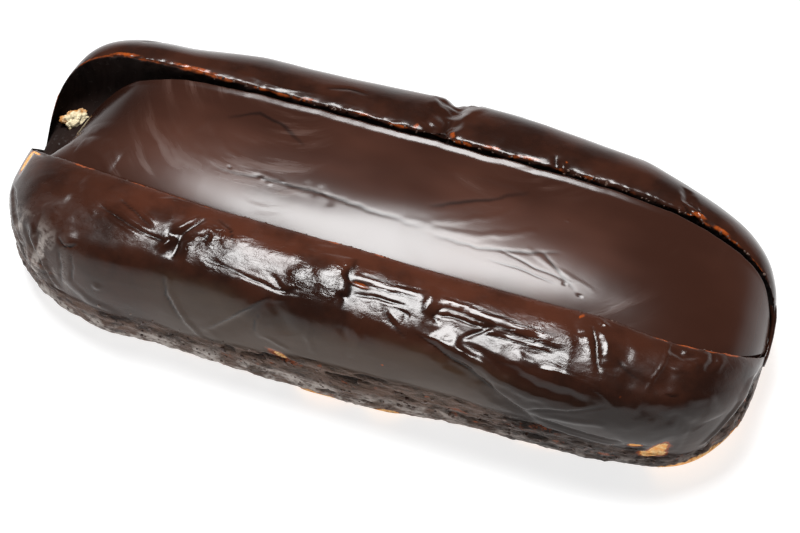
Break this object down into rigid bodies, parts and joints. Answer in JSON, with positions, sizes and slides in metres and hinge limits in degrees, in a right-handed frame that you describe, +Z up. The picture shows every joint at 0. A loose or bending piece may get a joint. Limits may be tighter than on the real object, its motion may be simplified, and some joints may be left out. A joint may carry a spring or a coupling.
{
  "type": "cream-filled bread roll",
  "caption": "Long soft bread roll dipped in dark chocolate, split lengthwise along the top, with a smooth mound of chocolate-coated cream lying in the split.",
  "frame": {"origin": "middle of the underside, on the surface that the roll rests on", "axes": "+X along the roll, +Y from the lobe that faces the viewer to the back lobe, +Z up"},
  "size_m": [0.16, 0.0706, 0.03],
  "materials": {
    "coat": "dark chocolate coat, glossy, crinkled, thin at the edges",
    "filling": "smooth chocolate skin over cream, glossy with faint streaks",
    "bread": "soft golden baked bread, matte and porous",
    "cream": "pale cream, matte"
  },
  "bodies": {
    "root": {"roll": "coat", "filling": "filling"}
  },
  "joints": []
}
